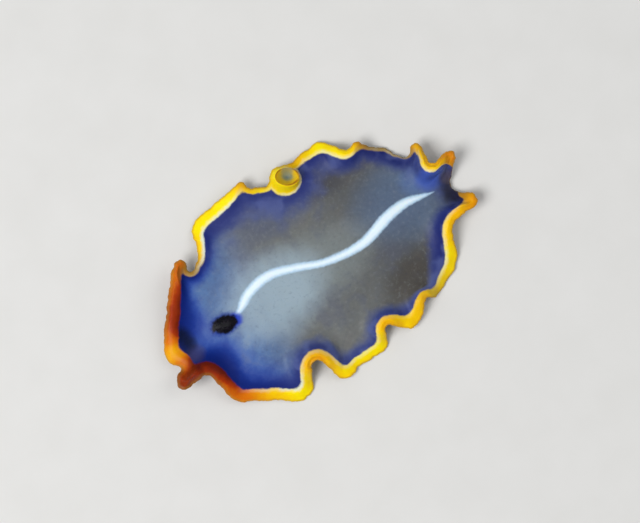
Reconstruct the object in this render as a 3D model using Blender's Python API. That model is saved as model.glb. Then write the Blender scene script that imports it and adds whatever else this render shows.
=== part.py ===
"""A polyclad flatworm, Cycloporus venetus, crawling on a level floor, at life size.

The body is one thin sheet. It lies flat along the middle and rises to a ruffled margin.
+X points to the head, +Y to the worm's left and +Z up. The belly is on z = 0.
The sizes below are in millimetres, and Blender's units are metres.
"""

import math

import bmesh
import bpy
import numpy as np

MM = 0.001
GAP = 0.30

# The margin seen from above, anticlockwise from the front. It runs round these circles as a belt
# does: round the outer side of a lobe, and round the inner side of a fold, whose radius is minus.
# name, x and y of the centre, radius, height of the margin's underside
MARGIN = (
    ("front_corner", 10.11, -0.06, 0.75, 0.60),
    ("slit", 10.35, 0.90, -0.08, 0.60),
    ("tentacle_left", 10.52, 1.63, 0.57, 1.50),
    ("notch_front", 9.42, 2.40, -0.37, 1.60),
    ("lobe_left_1", 7.77, 3.99, 0.90, 0.35),
    ("dent_left_1", 7.49, 6.82, -1.50, 0.20),
    ("lobe_left_2", 4.81, 5.60, 1.06, 0.00),
    ("fold_left_1", 3.09, 5.39, -0.47, 1.70),
    ("lobe_left_3", 1.85, 6.29, 0.65, 0.25),
    ("dent_left_2", 0.80, 7.85, -1.12, 0.10),
    ("lobe_left_4", -0.77, 5.99, 0.75, 0.00),
    ("fold_left_2", -1.90, 5.67, -0.26, 1.45),
    ("lobe_left_5", -3.36, 5.37, 1.08, 0.40),
    ("fold_left_3", -4.88, 5.48, -0.22, 1.20),
    ("lobe_left_6", -5.44, 5.35, 0.31, 0.00),
    ("lobe_left_7", -6.98, 3.72, 1.03, 0.10),
    ("fold_left_4", -9.15, 2.90, -0.72, 1.20),
    ("hook_tail", -10.39, 1.59, 0.50, 1.10),
    ("notch_tail", -10.47, 0.28, -0.62, 0.10),
    ("curl_tail_outer", -10.64, -1.30, 0.49, 1.40),
    ("curl_tail", -9.88, -1.85, -0.40, 1.80),
    ("curl_tail_inner", -9.26, -2.86, 0.38, 1.20),
    ("dip_right", -8.55, -3.03, -0.31, 0.25),
    ("lobe_right_5", -6.92, -3.32, 0.93, 0.00),
    ("dent_right_3", -6.92, -4.94, -0.25, 0.60),
    ("hook_right", -6.29, -4.93, 0.31, 1.20),
    ("fold_right_3", -5.72, -5.62, -0.53, 1.20),
    ("lobe_right_4", -4.08, -5.70, 0.84, 0.15),
    ("dent_right_2", -2.17, -6.40, -0.15, 0.45),
    ("ring", -1.32, -5.58, 0.95, 0.70),
    ("ring_foot", -0.15, -6.13, -0.24, 0.60),
    ("fold_right_2", 0.63, -6.46, -0.26, 0.60),
    ("lobe_right_2", 1.22, -6.64, 0.31, 0.90),
    ("side_right", 1.70, -6.59, 0.30, 0.75),
    ("lobe_right_1", 4.63, -5.66, 0.75, 0.10),
    ("dent_right_1", 6.79, -5.40, -1.37, 0.55),
    ("fold_right_1", 6.52, -4.02, -0.25, 0.70),
    ("tentacle_right", 7.04, -4.52, 0.42, 1.50),
    ("front", 8.74, -1.25, 1.25, 0.90),
)
FRONT_END = (10.2, -1.2)
TAIL_END = (-9.9, 0.3)
EDGE_EASE = 0.10
HEIGHT_EASE = 0.30
RISE_REACH = 2.6
RISE_POWER = 2.2
CREST_SPREAD = 0.15
CREST_WIDENING = 0.45
SLOPE_STEP = 0.05

# The pale stripe along the middle, from the tip of the dark eye patch to the tail
STRIPE_LINE = (
    (7.6, -0.12), (6.5, 0.03), (5.4, -0.20), (4.3, -0.82), (2.7, -1.08), (1.0, -0.60),
    (-0.7, 0.07), (-3.3, 0.35), (-5.6, -0.26), (-6.9, -0.38), (-8.8, 0.00),
)
# Half the width of the patch and the stripe, at shares of the line's length
STRIPE_HALF_WIDTHS = (
    (0.0, 0.02), (0.01, 0.24), (0.055, 0.56), (0.085, 0.56), (0.125, 0.30), (0.20, 0.36),
    (0.40, 0.32), (0.60, 0.32), (0.78, 0.40), (0.90, 0.30), (0.99, 0.16), (1.0, 0.02),
)
EYE_PATCH_END = 0.118
STRIPE_SPLITS = (0.42, 0.70)
SHARE_STEP = 0.004

# The left tentacle is full and round along this line, where the sheet alone would be a channel
TONGUE = ((10.46, 1.60), (9.60, 1.66))
TONGUE_REACH = 0.52
TONGUE_RISE = 0.40

# The ring: the margin stands up there in an oval crest round a hollow, above a wider foot
RING_AXIS = (-0.846, 0.533)
RING_CENTRE = (-1.58, -5.66)
RING_HALF = (0.74, 0.55)
RING_FOOT_CENTRE = (-1.33, -5.56)
RING_FOOT_HALF = (1.03, 0.95)
RING_CREST = 1.45
RING_HOLLOW = 0.66

THICK_MIDDLE = 1.15
THICK_MARGIN = 0.50
THICK_EDGE = 0.28
EDGE_TAPER = 0.55
DOME_REACH = 5.0
LEAST_UPRIGHT = 0.5
PATCH_RISE = 0.10

COLUMNS = 560
GRID_ROWS = 49
FINE_ROWS = 64
ROW_POWER = 1.6
GRID_LEVELS = ((4, 1200), (2, 500), (1, 250))
EDGE_CLOSENESS = 0.03
RUN_SHARE = 0.67
POINTS_AT_ONCE = 2000

# How the columns are spread along the stripe: mostly as the margin is beside it, eased
FOLLOWING = 0.75
FOLLOWING_COLUMNS = 61
OUTLINE_EASE = 1.6
COLUMN_SPACING = 0.15

MARGIN_WIDTH = 1.45
MARGIN_MOST = 0.5
MARGIN_CELL = 0.26
BODY_CELL = 0.40
MARGIN_SHARES = (0.0, 0.2, 0.5, 1.0)
RING_CELL = 0.16
RING_SHARES = (0.0, 0.1, 0.25, 0.4, 0.55, 0.7, 0.85, 1.0)
BODY_SHARES = (0.0, 0.15, 0.38, 0.68, 1.0)
MIDDLE_ACROSS = 5
SHARP_ANGLE = 50

YELLOW = (0.90, 0.62, 0.02, 1.0)
ORANGE = (0.55, 0.12, 0.01, 1.0)
BLUE = (0.06, 0.10, 0.32, 1.0)
HEAD_BLUE = (0.05, 0.16, 0.45, 1.0)
WHITE = (0.62, 0.82, 0.90, 1.0)
NAVY = (0.006, 0.008, 0.03, 1.0)


def belt_round(circles, step=0.04):
    """Points of the belt round the circles, their heights, and the point at each arc's middle."""
    centres = np.array([row[1:3] for row in circles])
    radii = np.array([row[3] for row in circles])
    onward = np.roll(centres, -1, axis=0) - centres
    spread = np.hypot(onward[:, 0], onward[:, 1])
    leaving = np.arctan2(onward[:, 1], onward[:, 0]) - np.arcsin((np.roll(radii, -1) - radii) / spread)
    points, heights, middles = [], [], {}
    for i, (name, _, _, radius, height) in enumerate(circles):
        side = math.copysign(1.0, radius)
        turn = side * ((side * (leaving[i] - leaving[i - 1]) + 0.3) % (2 * math.pi) - 0.3)
        pieces = max(3, int(abs(turn * radius) / step) + 2)
        middles[name] = len(points) + pieces // 2
        for heading in leaving[i - 1] + np.linspace(0, turn, pieces):
            outward = np.array([math.sin(heading), -math.cos(heading)])
            points.append(centres[i] + radius * outward)
            heights.append(height)
    return np.array(points), np.array(heights), middles


def smooth_loop(values, reach, spacing):
    """Values round a closed line, blurred along it by a Gaussian."""
    waves = np.fft.fftfreq(len(values), spacing)
    keep = np.exp(-2 * (math.pi * reach * waves) ** 2)
    if values.ndim > 1:
        keep = keep[:, None]
    return np.fft.ifft(np.fft.fft(values, axis=0) * keep, axis=0).real


def lengths_along(points):
    return np.concatenate([[0.0], np.cumsum(np.linalg.norm(np.diff(points, axis=0), axis=1))])


def at_length(points, length, wanted):
    return np.column_stack([np.interp(wanted, length, points[:, k]) for k in range(points.shape[1])])


def curve_through(points, per_span=24):
    """A centripetal Catmull-Rom curve through the points."""
    p = np.array(points, float)
    p = np.vstack([2 * p[0] - p[1], p, 2 * p[-1] - p[-2]])
    curve = []
    for a, b, c, d in zip(p[:-3], p[1:-2], p[2:-1], p[3:]):
        t = np.cumsum([0.0] + [np.linalg.norm(end - start) ** 0.5 for start, end in ((a, b), (b, c), (c, d))])
        for now in np.linspace(t[1], t[2], per_span, endpoint=False):
            ab = a + (b - a) * (now - t[0]) / (t[1] - t[0])
            bc = b + (c - b) * (now - t[1]) / (t[2] - t[1])
            cd = c + (d - c) * (now - t[2]) / (t[3] - t[2])
            abc = ab + (bc - ab) * (now - t[0]) / (t[2] - t[0])
            bcd = bc + (cd - bc) * (now - t[1]) / (t[3] - t[1])
            curve.append(abc + (bcd - abc) * (now - t[1]) / (t[2] - t[1]))
    curve.append(p[-2])
    return np.array(curve)


def margin_line():
    """The margin as COLUMNS points, the first at the front and the middle one at the tail.

    It also gives the height at each, and the column where each named circle is.
    """
    points, heights, middles = belt_round(MARGIN)
    closed = np.vstack([points, points[:1]])
    length = lengths_along(closed)
    dense = 8 * COLUMNS
    even = np.linspace(0, length[-1], dense, endpoint=False)
    line = smooth_loop(at_length(closed, length, even), EDGE_EASE, length[-1] / dense)
    rise = np.interp(even, length, np.append(heights, heights[0]))
    rise = np.maximum(smooth_loop(rise, HEIGHT_EASE, length[-1] / dense), 0)
    front = np.argmin(np.linalg.norm(line - FRONT_END, axis=1))
    line = np.roll(line, -front, axis=0)
    rise = np.roll(rise, -front)
    tail = int(np.argmin(np.linalg.norm(line - TAIL_END, axis=1)))
    half = COLUMNS // 2
    picked = np.concatenate(
        [np.linspace(0, tail, half, endpoint=False), np.linspace(tail, dense, half, endpoint=False)]
    )
    columns = {}
    for name, index in middles.items():
        place = (length[index] / length[-1] * dense - front) % dense
        columns[name] = float(np.interp(place, np.append(picked, dense), np.arange(COLUMNS + 1)))
    around = np.arange(dense + 1)
    margin = at_length(np.vstack([line, line[:1]]), around, picked)
    return margin, np.interp(picked, around, np.append(rise, rise[0])), columns


class Spine:
    """The stripe's middle line, and the outline of the eye patch and the stripe."""

    def __init__(self):
        self.line = curve_through(STRIPE_LINE)
        self.length = lengths_along(self.line)
        self.total = self.length[-1]

    def point(self, share):
        return at_length(self.line, self.length, np.asarray(share) * self.total)

    def left(self, share):
        share = np.asarray(share)
        run = self.point(np.minimum(share + SHARE_STEP, 1)) - self.point(np.maximum(share - SHARE_STEP, 0))
        run /= np.linalg.norm(run, axis=1)[:, None]
        return np.column_stack([run[:, 1], -run[:, 0]])

    def half_width(self, share):
        shares, widths = np.transpose(STRIPE_HALF_WIDTHS)
        return np.interp(share, shares, widths)

    def outline(self, margin):
        """A point of the outline for each column, across from that column's margin."""
        half = len(margin) // 2
        eased = smooth_loop(margin, OUTLINE_EASE, COLUMN_SPACING)
        nearest = [np.argmin(np.linalg.norm(self.line - point, axis=1)) for point in eased]
        share = self.length[nearest] / self.total
        sides = [share[:half], share[half:][::-1]]
        window = np.hanning(FOLLOWING_COLUMNS)
        window /= window.sum()
        beyond = FOLLOWING_COLUMNS // 2
        for k, side in enumerate(sides):
            side = FOLLOWING * np.maximum.accumulate(side) + (1 - FOLLOWING) * np.linspace(0, 1, half)
            side = np.convolve(np.pad(side, beyond, mode="reflect", reflect_type="odd"), window, "valid")
            sides[k] = (side - side[0]) / (side[-1] - side[0])
        share = np.concatenate([sides[0], sides[1][::-1]])
        turned = np.where(np.arange(2 * half) < half, 1.0, -1.0)
        return self.point(share) + self.left(share) * (self.half_width(share) * turned)[:, None]


def relax(grid, pull, sweeps):
    """Moves a grid's inner points by the elliptic equations that keep its lines from crossing.

    Its last two columns repeat the first two, and pull sets how close the rows lie to the first.
    """
    for _ in range(sweeps):
        around = (grid[1:-1, 2:] - grid[1:-1, :-2]) / 2
        across = (grid[2:, 1:-1] - grid[:-2, 1:-1]) / 2
        a = (across**2).sum(axis=-1, keepdims=True)
        b = (around * across).sum(axis=-1, keepdims=True)
        c = (around**2).sum(axis=-1, keepdims=True)
        corners = grid[2:, 2:] - grid[:-2, 2:] - grid[2:, :-2] + grid[:-2, :-2]
        sides = grid[1:-1, 2:] + grid[1:-1, :-2]
        ends = grid[2:, 1:-1] + grid[:-2, 1:-1] - pull * across
        grid[1:-1, 1:-1] = (a * sides + c * ends - b / 2 * corners) / (2 * (a + c))
        grid[:, 0] = grid[:, -2]
        grid[:, -1] = grid[:, 1]


def grid_between(outer, inner):
    """A grid of rows from one closed line in to another, solved coarsely and then more finely.

    The rows are EDGE_CLOSENESS times as far apart at the outer line as they would be if even.
    """
    grid = None
    for coarseness, sweeps in GRID_LEVELS:
        rows = (GRID_ROWS - 1) // coarseness + 1
        share = np.linspace(0, 1, rows)
        start, end = outer[::coarseness], inner[::coarseness]
        if grid is None:
            inward = (EDGE_CLOSENESS * share + (1 - EDGE_CLOSENESS) * share**2)[:, None, None]
            grid = start * (1 - inward) + end * inward
        else:
            between = (grid + np.roll(grid, -1, axis=1)) / 2
            coarse = np.stack([grid, between], axis=2).reshape(len(grid), -1, 2)
            grid = np.empty((rows, coarse.shape[1], 2))
            grid[::2] = coarse
            grid[1::2] = (coarse[:-1] + coarse[1:]) / 2
            grid[0], grid[-1] = start, end
        slope = EDGE_CLOSENESS + 2 * (1 - EDGE_CLOSENESS) * share[1:-1]
        pull = (2 * (1 - EDGE_CLOSENESS) / slope / (rows - 1))[:, None, None]
        wrapped = np.concatenate([grid[:, -1:], grid, grid[:, :1]], axis=1)
        relax(wrapped, pull, sweeps)
        grid = wrapped[:, 1:-1]
    return grid


def smooth_step(value):
    value = np.clip(value, 0, 1)
    return value * value * (3 - 2 * value)


def oval(points, centre, axis, half):
    """How far out each point is from an oval's centre: 1 on the oval itself."""
    along = (points - centre) @ np.array(axis) / half[0]
    across = (points - centre) @ np.array([-axis[1], axis[0]]) / half[1]
    return np.hypot(along, across)


def beside(points, start, end):
    """Each point's distance from a straight line between two places."""
    run = np.array(end) - start
    share = np.clip((points - start) @ run / (run @ run), 0, 1)
    return np.linalg.norm(points - start - share[:, None] * run, axis=1)


def ring_form(points):
    """The ring's height at points, and how much of it shows: 1 on its crest and 0 at its foot."""
    hollow = oval(points, RING_CENTRE, RING_AXIS, RING_HALF)
    foot = oval(points, RING_FOOT_CENTRE, RING_AXIS, RING_FOOT_HALF)
    height = RING_CREST - RING_HOLLOW * (1 - np.minimum(hollow, 1) ** 2)
    beyond = np.maximum(hollow - 1, 0)
    within = np.maximum(1 - foot, 0)
    return height, smooth_step(within / np.maximum(within + beyond, 1e-6))


class Sheet:
    """The body as a plan of columns that run from the margin in to the stripe, and its heights."""

    def __init__(self):
        self.margin, self.rise, self.columns = margin_line()
        self.spine = Spine()
        grid = grid_between(self.margin, self.spine.outline(self.margin))
        self.plan = np.empty((FINE_ROWS, COLUMNS, 2))
        run = np.empty((FINE_ROWS, COLUMNS))
        for j in range(COLUMNS):
            length = lengths_along(grid[:, j])
            run[:, j] = np.linspace(0, 1, FINE_ROWS) ** ROW_POWER * length[-1]
            self.plan[:, j] = at_length(grid[:, j], length, run[:, j])
        away = self.field(self.plan.reshape(-1, 2))[0].reshape(run.shape)
        self.depth = (1 - RUN_SHARE) * np.maximum.accumulate(away, axis=0) + RUN_SHARE * run

    def field(self, points):
        """Each point's distance from the margin, and the height of the underside there."""
        away = np.empty(len(points))
        height = np.empty(len(points))
        for start in range(0, len(points), POINTS_AT_ONCE):
            end = start + POINTS_AT_ONCE
            part = points[start:end]
            square = ((part[:, None] - self.margin) ** 2).sum(axis=-1)
            nearest = square.min(axis=1)
            spread = CREST_SPREAD + CREST_WIDENING * np.sqrt(nearest)
            weight = np.exp((nearest[:, None] - square) / (2 * spread[:, None] ** 2))
            away[start:end] = np.sqrt(nearest)
            height[start:end] = (weight * self.rise).sum(axis=1) / weight.sum(axis=1)
        return away, height * np.clip(1 - away / RISE_REACH, 0, 1) ** RISE_POWER

    def sides(self, points):
        """The underside and the upper side above plan points, which are thicker where it is steep."""
        away, height = self.field(points)
        shifts = ((SLOPE_STEP, 0), (0, SLOPE_STEP))
        slopes = [(self.field(points + shift)[1] - height) / SLOPE_STEP for shift in shifts]
        upright = 1 / np.sqrt(1 + slopes[0] ** 2 + slopes[1] ** 2)
        sheet = THICK_EDGE + (THICK_MARGIN - THICK_EDGE) * smooth_step(away / EDGE_TAPER)
        sheet += (THICK_MIDDLE - THICK_MARGIN) * smooth_step(away / DOME_REACH)
        top = height + sheet / np.maximum(upright, LEAST_UPRIGHT)
        top += TONGUE_RISE * smooth_step(1 - beside(points, *TONGUE) / TONGUE_REACH)
        ring, share = ring_form(points)
        top += (ring - top) * share
        return np.column_stack([points, height]), np.column_stack([points, top])

    def place(self, column, depth):
        """The plan point at a column and a depth from the margin."""
        low = int(math.floor(column))
        ends = []
        for j in (low % COLUMNS, (low + 1) % COLUMNS):
            ends.append(at_length(self.plan[:, j], self.depth[:, j], [depth])[0])
        return ends[0] + (ends[1] - ends[0]) * (column - low)

    def reach(self, column):
        """The depth of the stripe's outline at a column."""
        low = int(math.floor(column))
        ends = [self.depth[-1, j % COLUMNS] for j in (low, low + 1)]
        return ends[0] + (ends[1] - ends[0]) * (column - low)

    def columns_per_mm(self, column, depth):
        run = self.place(column + 0.5, depth) - self.place(column - 0.5, depth)
        return 1 / max(np.linalg.norm(run), 1e-3)


def material(name, colour, roughness):
    made = bpy.data.materials.new(name)
    made.use_nodes = True
    made.diffuse_color = colour
    shader = made.node_tree.nodes["Principled BSDF"]
    shader.inputs["Base Color"].default_value = colour
    shader.inputs["Roughness"].default_value = roughness
    shader.inputs["Metallic"].default_value = 0.0
    return made


def turn_at(a, b, c):
    """Twice the area of a triangle seen from above, below nought where it runs clockwise."""
    return (b[0] - a[0]) * (c[1] - a[1]) - (b[1] - a[1]) * (c[0] - a[0])


def split(a, b, c, d):
    """The two triangles that part a four-sided cell so that neither of them is turned over."""
    ways = (((0, 1, 2), (0, 2, 3)), ((0, 1, 3), (1, 2, 3)))
    corners = (a, b, c, d)
    whole = turn_at(a, b, c) + turn_at(a, c, d)
    side = math.copysign(1.0, whole)
    return max(ways, key=lambda way: min(side * turn_at(*(corners[k] for k in ring)) for ring in way))


def plate(name, lower, upper, colour, roughness=0.35):
    """A closed solid between two grids of points, split into triangles alike on both faces."""
    rows, across = lower.shape[:2]
    mesh = bmesh.new()
    faces = []
    for grid in (lower, upper):
        faces.append([[mesh.verts.new(point * MM) for point in row] for row in grid])
    under, over = faces
    for i in range(rows - 1):
        for j in range(across - 1):
            corners = ((i, j), (i, j + 1), (i + 1, j + 1), (i + 1, j))
            for ring in split(*(lower[corner] for corner in corners)):
                mesh.faces.new([over[corners[k][0]][corners[k][1]] for k in ring])
                mesh.faces.new([under[corners[k][0]][corners[k][1]] for k in reversed(ring)])
    edge = [(0, j) for j in range(across)]
    edge += [(i, across - 1) for i in range(1, rows)]
    edge += [(rows - 1, j) for j in range(across - 2, -1, -1)]
    edge += [(i, 0) for i in range(rows - 2, 0, -1)]
    for (i, j), (k, m) in zip(edge, edge[1:] + edge[:1]):
        mesh.faces.new((under[i][j], under[k][m], over[k][m], over[i][j]))
    bmesh.ops.triangulate(mesh, faces=[face for face in mesh.faces if len(face.verts) > 3])
    bmesh.ops.recalc_face_normals(mesh, faces=mesh.faces)
    data = bpy.data.meshes.new(name)
    mesh.to_mesh(data)
    mesh.free()
    data.materials.append(material(name, colour, roughness))
    made = bpy.data.objects.new(name, data)
    data.shade_smooth()
    data.set_sharp_from_angle(angle=math.radians(SHARP_ANGLE))
    worm.objects.link(made)
    return made


def patch(sheet, name, start, end, shares, depths, cell, colour):
    """A length of the sheet from one named column to the next, between two depths."""
    first = sheet.columns[start]
    last = sheet.columns[end]
    if last < first:
        last += COLUMNS

    def at(column, share):
        near, far = depths(column)
        return near + (far - near) * share

    # The columns lie closer wherever one row runs faster than the others
    sampled = np.arange(first, last, 0.5)
    rows = np.array([[sheet.place(column, at(column, share)) for column in sampled] for share in shares])
    steps = np.linalg.norm(np.diff(rows, axis=1), axis=-1).max(axis=0)
    length = np.concatenate([[0.0], np.cumsum(steps)])
    across = max(3, int(length[-1] / cell) + 1)
    spread = np.interp(np.linspace(0, length[-1], across), length, sampled)
    spread = (spread - spread[0]) / (spread[-1] - spread[0])
    plan = np.empty((len(shares), across, 2))
    for i, share in enumerate(shares):
        begin = first + GAP / 2 * sheet.columns_per_mm(first, at(first, share))
        finish = last - GAP / 2 * sheet.columns_per_mm(last, at(last, share))
        for j, column in enumerate(begin + (finish - begin) * spread):
            plan[i, j] = sheet.place(column, at(column, share))
    lower, upper = sheet.sides(plan.reshape(-1, 2))
    plate(name, lower.reshape(*plan.shape[:2], 3), upper.reshape(*plan.shape[:2], 3), colour)


def margin_nodes(sheet):
    """The ruffled coloured margin, in lengths that meet in the folds and on the lobes."""

    def depths(column):
        return 0.0, min(MARGIN_WIDTH, MARGIN_MOST * sheet.reach(column)) - GAP / 2

    lengths = (
        ("pseudotentacle_right", "fold_right_1", "front", ORANGE),
        ("margin_front", "front", "slit", ORANGE),
        ("pseudotentacle_left", "slit", "lobe_left_1", ORANGE),
        ("margin_left_1", "lobe_left_1", "lobe_left_2", YELLOW),
        ("margin_left_2", "lobe_left_2", "lobe_left_3", YELLOW),
        ("margin_left_3", "lobe_left_3", "fold_left_2", YELLOW),
        ("margin_left_4", "fold_left_2", "fold_left_3", YELLOW),
        ("margin_left_5", "fold_left_3", "fold_left_4", YELLOW),
        ("margin_left_6", "fold_left_4", "hook_tail", YELLOW),
        ("margin_tail", "hook_tail", "curl_tail_outer", BLUE),
        ("margin_curl_tail", "curl_tail_outer", "dip_right", YELLOW),
        ("margin_right_5", "dip_right", "hook_right", YELLOW),
        ("margin_right_4", "hook_right", "dent_right_2", YELLOW),
        ("margin_ring", "dent_right_2", "fold_right_2", YELLOW),
        ("margin_right_2", "fold_right_2", "lobe_right_1", YELLOW),
        ("margin_right_1", "lobe_right_1", "fold_right_1", YELLOW),
    )
    for name, start, end, colour in lengths:
        finer = name == "margin_ring"
        shares, cell = (RING_SHARES, RING_CELL) if finer else (MARGIN_SHARES, MARGIN_CELL)
        patch(sheet, name, start, end, shares, depths, cell, colour)


def body_nodes(sheet):
    """The head, the two sides of the trunk and the tail, from the margin in to the stripe."""

    def depths(column):
        reach = sheet.reach(column)
        return min(MARGIN_WIDTH, MARGIN_MOST * reach) + GAP / 2, reach - GAP

    lengths = (
        ("head", "fold_right_1", "notch_front", HEAD_BLUE),
        ("trunk_left_front", "notch_front", "fold_left_1", BLUE),
        ("trunk_left_middle", "fold_left_1", "fold_left_2", BLUE),
        ("trunk_left_rear", "fold_left_2", "fold_left_4", BLUE),
        ("tail", "fold_left_4", "dip_right", BLUE),
        ("trunk_right_rear", "dip_right", "fold_right_3", BLUE),
        ("trunk_right_middle", "fold_right_3", "ring", BLUE),
        ("trunk_right_front", "ring", "fold_right_1", BLUE),
    )
    for name, start, end, colour in lengths:
        patch(sheet, name, start, end, BODY_SHARES, depths, BODY_CELL, colour)


def middle_nodes(sheet):
    """The dark eye patch over the brain, and the stripe behind it in three lengths."""
    spine = sheet.spine
    half_gap = GAP / 2 / spine.total
    front, rear = STRIPE_SPLITS
    lengths = (
        ("eye_patch", 0.0, EYE_PATCH_END, PATCH_RISE, NAVY),
        ("stripe_front", EYE_PATCH_END, front, 0.0, WHITE),
        ("stripe_middle", front, rear, 0.0, WHITE),
        ("stripe_rear", rear, 1.0, 0.0, WHITE),
    )
    across = np.linspace(-1, 1, MIDDLE_ACROSS)
    for name, start, end, crown, colour in lengths:
        rows = max(6, int((end - start) * spine.total / BODY_CELL) + 2)
        share = np.linspace(start + half_gap, end - half_gap, rows)
        middle, left, half = spine.point(share), spine.left(share), spine.half_width(share)
        plan = middle[:, None] + left[:, None] * (half[:, None] * across)[..., None]
        lower, upper = (side.reshape(rows, len(across), 3) for side in sheet.sides(plan.reshape(-1, 2)))
        upper[..., 2] += crown * np.outer(np.sin(np.linspace(0, math.pi, rows)), 1 - across**2)
        plate(name, lower, upper, colour)


for stale in list(bpy.data.objects):
    bpy.data.objects.remove(stale)
worm = bpy.data.collections.new("cycloporus_venetus")
bpy.context.scene.collection.children.link(worm)
body = Sheet()
margin_nodes(body)
body_nodes(body)
middle_nodes(body)
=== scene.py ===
"""A living polyclad flatworm, Cycloporus venetus, crawling on a level floor, at life size.

One closed skin covers the whole body: a thin sheet, flat along the middle, whose ruffled margin rises.
+X points to the head, +Y to the worm's left and +Z up. The belly is on z = 0.
The sizes below are in millimetres, and the scene's units are metres.
"""

import math

import bmesh
import bpy
import numpy as np
from mathutils import Matrix, Vector

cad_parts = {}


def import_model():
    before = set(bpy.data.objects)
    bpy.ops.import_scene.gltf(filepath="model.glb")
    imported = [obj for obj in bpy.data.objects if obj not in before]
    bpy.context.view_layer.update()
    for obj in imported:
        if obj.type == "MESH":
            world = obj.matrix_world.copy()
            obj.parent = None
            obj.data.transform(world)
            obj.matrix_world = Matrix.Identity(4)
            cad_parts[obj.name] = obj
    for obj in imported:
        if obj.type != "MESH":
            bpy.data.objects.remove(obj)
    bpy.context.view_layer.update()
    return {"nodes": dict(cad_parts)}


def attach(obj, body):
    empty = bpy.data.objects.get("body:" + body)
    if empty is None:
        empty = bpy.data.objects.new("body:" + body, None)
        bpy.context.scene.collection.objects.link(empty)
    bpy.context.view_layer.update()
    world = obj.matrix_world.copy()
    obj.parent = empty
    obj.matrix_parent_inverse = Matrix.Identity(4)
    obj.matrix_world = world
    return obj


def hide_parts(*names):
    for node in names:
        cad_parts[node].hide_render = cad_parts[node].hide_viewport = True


MM = 0.001

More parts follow.
